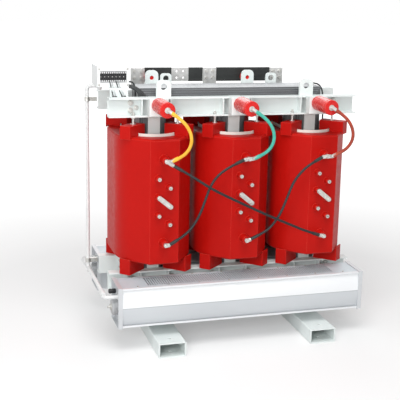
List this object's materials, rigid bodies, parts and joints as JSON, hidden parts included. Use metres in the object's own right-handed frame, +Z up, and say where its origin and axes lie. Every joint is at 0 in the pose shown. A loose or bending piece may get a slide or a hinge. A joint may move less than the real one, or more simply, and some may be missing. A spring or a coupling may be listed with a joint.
{
  "type": "dry type transformer",
  "caption": "Open cast-resin dry type power transformer: red coils on a laminated core between steel clamps, with skids, cooling fans, front leads and rear bars.",
  "frame": {"origin": "on the floor, at the centre of the four fixing holes in the skids", "axes": "+X runs along the coils to the right, -Y faces the high-voltage side, +Z is up"},
  "size_m": [1.511, 1.066, 1.522],
  "materials": {
    "barrier_sheet": "pale insulating laminate",
    "black_moulding": "black moulding",
    "black_sleeve": "black shrink sleeve",
    "cable_black": "black cable jacket",
    "cable_brown": "brown cable jacket",
    "cable_green": "green cable jacket",
    "cable_yellow": "yellow cable jacket",
    "core_steel": "lacquered silicon steel edges",
    "fan_aluminium": "satin anodised extrusion",
    "grey_paint": "pale grey-green powder coat",
    "plated_steel": "zinc plated",
    "red_resin": "smooth cast epoxy resin",
    "tinned_bar": "tinned bar",
    "white_box": "white powder coat",
    "white_conduit": "white conduit",
    "winding_resin": "resin-bonded foil winding"
  },
  "bodies": {
    "root": {"barriers": "barrier_sheet", "bottom_blocks": "red_resin", "cable_lugs": "plated_steel", "clamp_studs": "plated_steel", "conduit_clips": "white_conduit", "controller_box": "white_box", "controller_bracket": "grey_paint", "controller_terminal_strip": "black_moulding", "core_limbs": "core_steel", "core_top_yoke": "core_steel", "delta_jumper_left_to_right": "cable_black", "delta_jumper_middle_to_left": "cable_black", "delta_jumper_right_to_middle": "cable_black", "fan_brackets": "grey_paint", "fan_front_body": "fan_aluminium", "fan_front_end_plates": "fan_aluminium", "fan_front_grille": "fan_aluminium", "fan_motors": "black_moulding", "fan_rear_body": "fan_aluminium", "fan_rear_end_plates": "fan_aluminium", "fan_rear_grille": "fan_aluminium", "hv_coil_left": "red_resin", "hv_coil_middle": "red_resin", "hv_coil_right": "red_resin", "hv_insulator_left": "red_resin", "hv_insulator_middle": "red_resin", "hv_insulator_right": "red_resin", "insulator_brackets": "grey_paint", "insulator_terminals": "plated_steel", "lifting_lugs_front": "grey_paint", "lifting_lugs_rear": "grey_paint", "lower_clamp_front": "grey_paint", "lower_clamp_rear": "grey_paint", "lv_bar_bolts": "plated_steel", "lv_bar_sleeves": "black_sleeve", "lv_coil_left": "winding_resin", "lv_coil_middle": "winding_resin", "lv_coil_right": "winding_resin", "lv_neutral_bar": "tinned_bar", "lv_neutral_risers": "tinned_bar", "lv_phase_bars": "tinned_bar", "lv_support_brackets": "grey_paint", "lv_support_insulators": "red_resin", "phase_lead_brown": "cable_brown", "phase_lead_green": "cable_green", "phase_lead_yellow": "cable_yellow", "pressure_bolts": "plated_steel", "skid_left": "grey_paint", "skid_right": "grey_paint", "tap_links": "plated_steel", "terminal_bolts": "plated_steel", "terminal_inserts": "plated_steel", "tie_plates": "grey_paint", "top_blocks": "red_resin", "upper_clamp_front": "grey_paint", "upper_clamp_rear": "grey_paint", "wiring_conduit": "white_conduit"}
  },
  "joints": []
}
